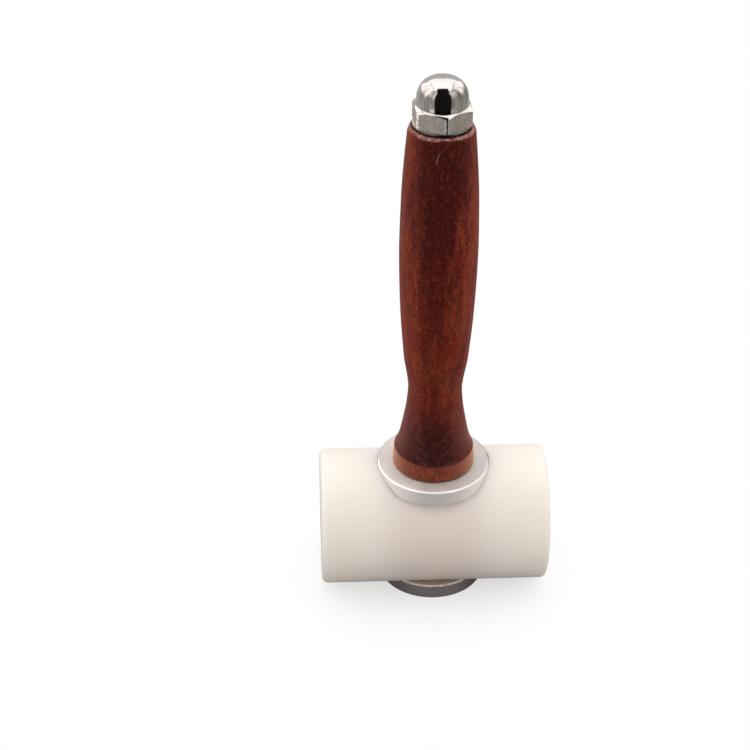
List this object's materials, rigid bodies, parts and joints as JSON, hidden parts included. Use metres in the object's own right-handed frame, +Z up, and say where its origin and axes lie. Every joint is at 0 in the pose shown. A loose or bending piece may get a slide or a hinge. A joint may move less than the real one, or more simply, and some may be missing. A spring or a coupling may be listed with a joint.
{
  "type": "leather carving mallet",
  "caption": "Small two-faced mallet for leather carving: round milky nylon head between two aluminium discs, turned wooden handle and a steel cap nut on the end, held by one long screw.",
  "frame": {"origin": "centre of the lower collar's outer face, on which the mallet stands", "axes": "+Z up along the handle to the cap nut, +X along the head towards one striking face, +Y across both"},
  "size_m": [0.085, 0.051, 0.2084],
  "materials": {
    "nylon": "milky white, softly polished",
    "turned_aluminium": "fine turned, bright edges",
    "stained_wood": "red-brown stain under thin oil, worn lighter at the edges",
    "screw_steel": "zinc grey",
    "washer_steel": "dull",
    "plated_steel": "polished dome, satin flats"
  },
  "bodies": {
    "mallet": {"head": "nylon", "upper_collar": "turned_aluminium", "lower_collar": "turned_aluminium", "handle": "stained_wood", "tie_screw": "screw_steel"},
    "washer": {"nut_washer": "washer_steel"},
    "nut": {"cap_nut": "plated_steel"}
  },
  "joints": [
    {"name": "nut_turn", "type": "hinge", "parent": "mallet", "child": "washer", "pos_m": [0, 0, 0.1914], "axis": [0, 0, 1], "range_deg": [0, 1980]},
    {"name": "nut_rise", "type": "slide", "parent": "washer", "child": "nut", "axis": [0, 0, 1], "range_m": [0, 0.00962]}
  ],
  "couplings": [
    {"joint": "nut_rise", "follows": "nut_turn", "m_per_rad": 0.00027852}
  ]
}
